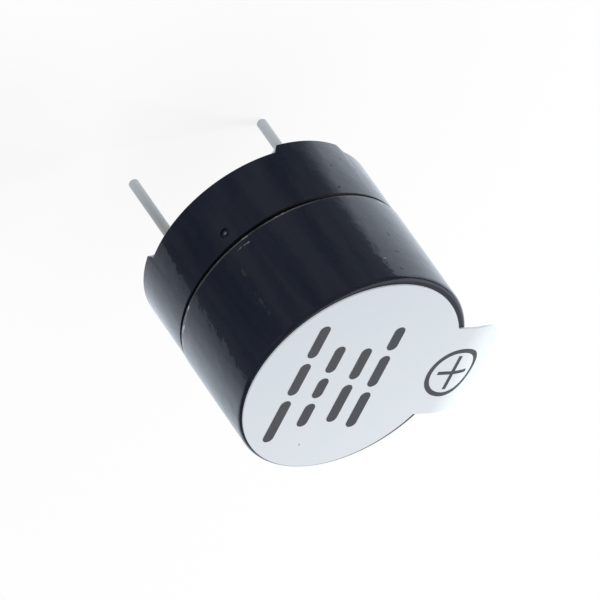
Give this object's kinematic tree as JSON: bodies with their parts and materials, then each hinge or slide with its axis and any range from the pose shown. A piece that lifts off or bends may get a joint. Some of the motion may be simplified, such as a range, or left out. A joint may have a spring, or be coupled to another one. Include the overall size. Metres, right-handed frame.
{
  "type": "active buzzer",
  "caption": "Round black through-hole active buzzer: a sealed magnetic sounder with its own driver, a white seal label with a pull tab, and wire pins for soldering to a circuit board.",
  "frame": {"origin": "midway between the pins, on the plane of the board that the feet stand on", "axes": "+Z from the board towards the sound port and the label, +X towards the positive pin"},
  "size_m": [0.0141, 0.012, 0.0163],
  "materials": {
    "case_plastic": "glossy moulded",
    "base_plastic": "glossy moulded",
    "label_paper": "coated, matt",
    "soft_iron": "plated",
    "spring_steel": "rolled sheet",
    "bonded_ferrite": "pressed, matt",
    "copper_wire": "enamelled",
    "board_laminate": "solder mask",
    "solder": "bright",
    "chip_body": "moulded",
    "tinned_wire": "tinned",
    "potting_resin": "cast"
  },
  "bodies": {
    "root": {"case": "case_plastic", "base": "base_plastic", "seal_label": "label_paper", "diaphragm": "spring_steel", "armature_disc": "soft_iron", "ring_magnet": "bonded_ferrite", "pole_core": "soft_iron", "yoke_plate": "soft_iron", "drive_coil": "copper_wire", "feedback_coil": "copper_wire", "coil_leads": "copper_wire", "driver_board": "board_laminate", "lead_solder": "solder", "transistor": "chip_body", "transistor_legs": "tinned_wire", "bias_resistor": "chip_body", "resistor_caps": "solder", "pin_solder": "solder", "positive_pin": "tinned_wire", "negative_pin": "tinned_wire", "potting": "potting_resin"}
  },
  "joints": []
}
